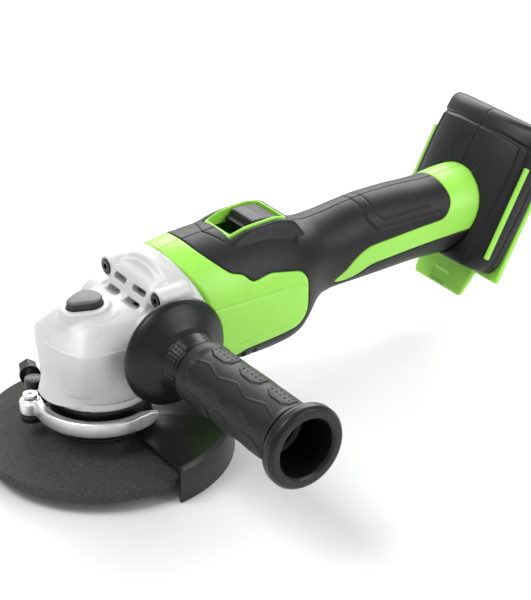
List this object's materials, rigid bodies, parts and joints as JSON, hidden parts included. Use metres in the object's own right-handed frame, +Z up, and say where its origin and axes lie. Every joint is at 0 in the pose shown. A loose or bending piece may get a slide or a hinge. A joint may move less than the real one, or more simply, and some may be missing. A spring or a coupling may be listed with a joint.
{
  "type": "angle grinder",
  "caption": "Cordless angle grinder with depressed-centre disc, turnable half guard with lever clamp, bevel gear head, screw-in side handle, slide switch and tilted battery dock.",
  "frame": {"origin": "spindle axis where it meets the lower face of the disc nut", "axes": "+Z up along the spindle, +Y rearwards along the motor and the handle, +X towards the side handle"},
  "size_m": [0.2144, 0.3356, 0.1206],
  "materials": {
    "cast": "satin",
    "green_plastic": "satin",
    "black_plastic": "satin",
    "soft_grip": "matte",
    "steel": "brushed",
    "black_steel": "satin black",
    "lever_metal": "bright nickel",
    "abrasive": "coarse grit",
    "copper": "enamelled wire",
    "brass": "plain",
    "lamination": "stamped",
    "magnet": "plated",
    "board": "solder mask",
    "ivory_plastic": "plain",
    "red_plastic": "plain",
    "felt": "felt",
    "grey_plastic": "satin"
  },
  "bodies": {
    "housing": {"gear_housing": "cast", "gearbox_cover": "cast", "cover_screws": "black_steel", "head_screws": "black_steel", "spindle_bearing": "steel", "needle_bearing": "steel", "felt_seal": "felt", "lock_spring": "steel", "lock_cap_ring": "soft_grip", "front_bearing": "steel", "rear_bearing": "steel", "stator_core": "lamination", "stator_insulator": "ivory_plastic", "stator_windings": "copper", "sensor_board": "board", "air_baffle": "black_plastic", "shell_left": "green_plastic", "shell_right": "green_plastic", "overmould_left": "soft_grip", "overmould_right": "soft_grip", "switch_bezel": "green_plastic", "switch_module": "red_plastic", "controller": "lamination", "wires": "red_plastic", "block_left": "black_plastic", "block_right": "black_plastic", "dock_liner": "green_plastic", "side_strips": "green_plastic", "terminal_block": "black_plastic", "terminal_blades": "brass", "housing_screws": "black_steel"},
    "spindle": {"spindle": "steel", "spindle_bearing_inner": "steel", "crown_gear": "steel", "crown_circlip": "black_steel", "inner_flange": "steel", "flange_nut": "steel", "grinding_disc": "abrasive", "disc_hub_ring": "steel"},
    "rotor": {"motor_shaft": "steel", "pinion_gear": "steel", "front_bearing_inner": "steel", "rear_bearing_inner": "steel", "fan": "black_plastic", "rotor_core": "lamination", "rotor_magnets": "magnet"},
    "lock": {"lock_button": "grey_plastic", "lock_pin": "steel"},
    "guard": {"guard_shell": "black_steel", "guard_band": "black_steel", "lever_pin": "steel", "adjust_bolt": "steel", "adjust_nut": "black_steel"},
    "clamp_lever": {"clamp_lever": "lever_metal"},
    "switch": {"switch_slider": "black_plastic", "slider_rod": "steel"},
    "handle_stud": {"side_handle_stud": "steel"},
    "side_handle": {"side_handle_core": "black_plastic", "side_handle_grip": "soft_grip"}
  },
  "joints": [
    {"name": "spindle_spin", "type": "hinge", "parent": "housing", "child": "spindle", "pos_m": [0, 0, 0.02], "axis": [0, 0, 1], "continuous": true},
    {"name": "rotor_spin", "type": "hinge", "parent": "housing", "child": "rotor", "pos_m": [0, 0.06, 0.059], "axis": [0, 1, 0], "continuous": true},
    {"name": "lock_press", "type": "slide", "parent": "housing", "child": "lock", "axis": [0, 0, -1], "range_m": [0, 0.004], "stiffness_N_per_m": 600, "springref_m": -0.004, "deforming": ["lock_spring"]},
    {"name": "guard_turn", "type": "hinge", "parent": "housing", "child": "guard", "pos_m": [0, 0, 0.018], "axis": [0, 0, 1], "range_deg": [-90, 90]},
    {"name": "lever_open", "type": "hinge", "parent": "guard", "child": "clamp_lever", "pos_m": [-0.014, -0.032, 0.02], "axis": [0, 0, -1], "range_deg": [0, 110]},
    {"name": "switch_slide", "type": "slide", "parent": "housing", "child": "switch", "axis": [0, -1, 0], "range_m": [0, 0.008]},
    {"name": "handle_advance", "type": "slide", "parent": "housing", "child": "handle_stud", "axis": [1, 0, 0], "range_m": [0, 0.01]},
    {"name": "handle_unscrew", "type": "hinge", "parent": "handle_stud", "child": "side_handle", "pos_m": [0.06, 0.018, 0.059], "axis": [1, 0, 0], "range_deg": [0, 2886]}
  ],
  "couplings": [
    {"joint": "rotor_spin", "follows": "spindle_spin", "ratio": 3.3636},
    {"joint": "handle_unscrew", "follows": "handle_advance", "rad_per_m": 5026.5}
  ]
}
